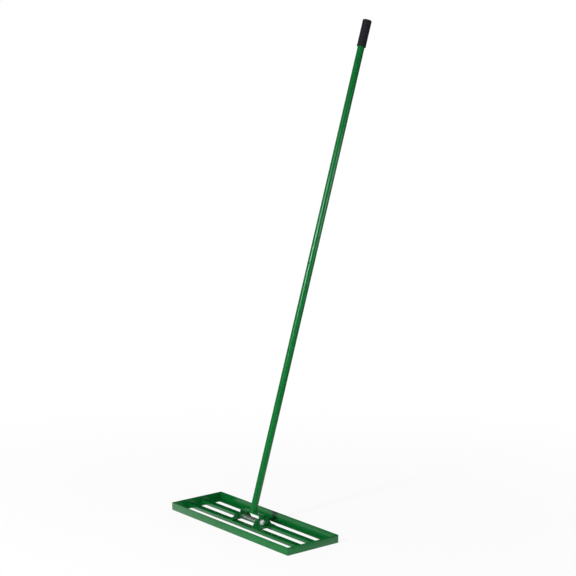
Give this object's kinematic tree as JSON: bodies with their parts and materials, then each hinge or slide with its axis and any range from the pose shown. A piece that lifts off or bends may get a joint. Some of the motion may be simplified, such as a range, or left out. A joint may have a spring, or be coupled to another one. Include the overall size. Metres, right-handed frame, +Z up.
{
  "type": "lawn leveling rake",
  "caption": "Long-handled lawn leveling rake: an open rectangular steel head with cross slats, tilting on a pivot bolt under a straight tubular handle with a ribbed grip.",
  "frame": {"origin": "middle of the front rail's flat underside, on the ground", "axes": "+X along the long side of the head, +Y from the front rail to the rear rail, the side the handle leans to, +Z up"},
  "size_m": [0.762, 0.7411, 2.0149],
  "materials": {
    "green_paint": "satin green powder coat",
    "zinc": "zinc plated",
    "rubber": "matt black, ribbed"
  },
  "bodies": {
    "head": {"front_rail": "green_paint", "rear_rail": "green_paint", "left_rail": "green_paint", "right_rail": "green_paint", "front_slat": "green_paint", "rear_slat": "green_paint", "left_ear": "green_paint", "right_ear": "green_paint", "pivot_bolt": "zinc", "lock_nut": "zinc", "left_washer": "zinc", "right_washer": "zinc"},
    "handle": {"yoke": "green_paint", "lower_tube": "green_paint", "middle_tube": "green_paint", "upper_tube": "green_paint", "lower_stud": "zinc", "lower_socket": "zinc", "upper_stud": "zinc", "upper_socket": "zinc", "grip": "rubber"}
  },
  "joints": [
    {"name": "head_tilt", "type": "hinge", "parent": "head", "child": "handle", "pos_m": [0, 0.10662, 0.0305], "axis": [1, 0, 0], "range_deg": [-65.5, 98.5]}
  ]
}
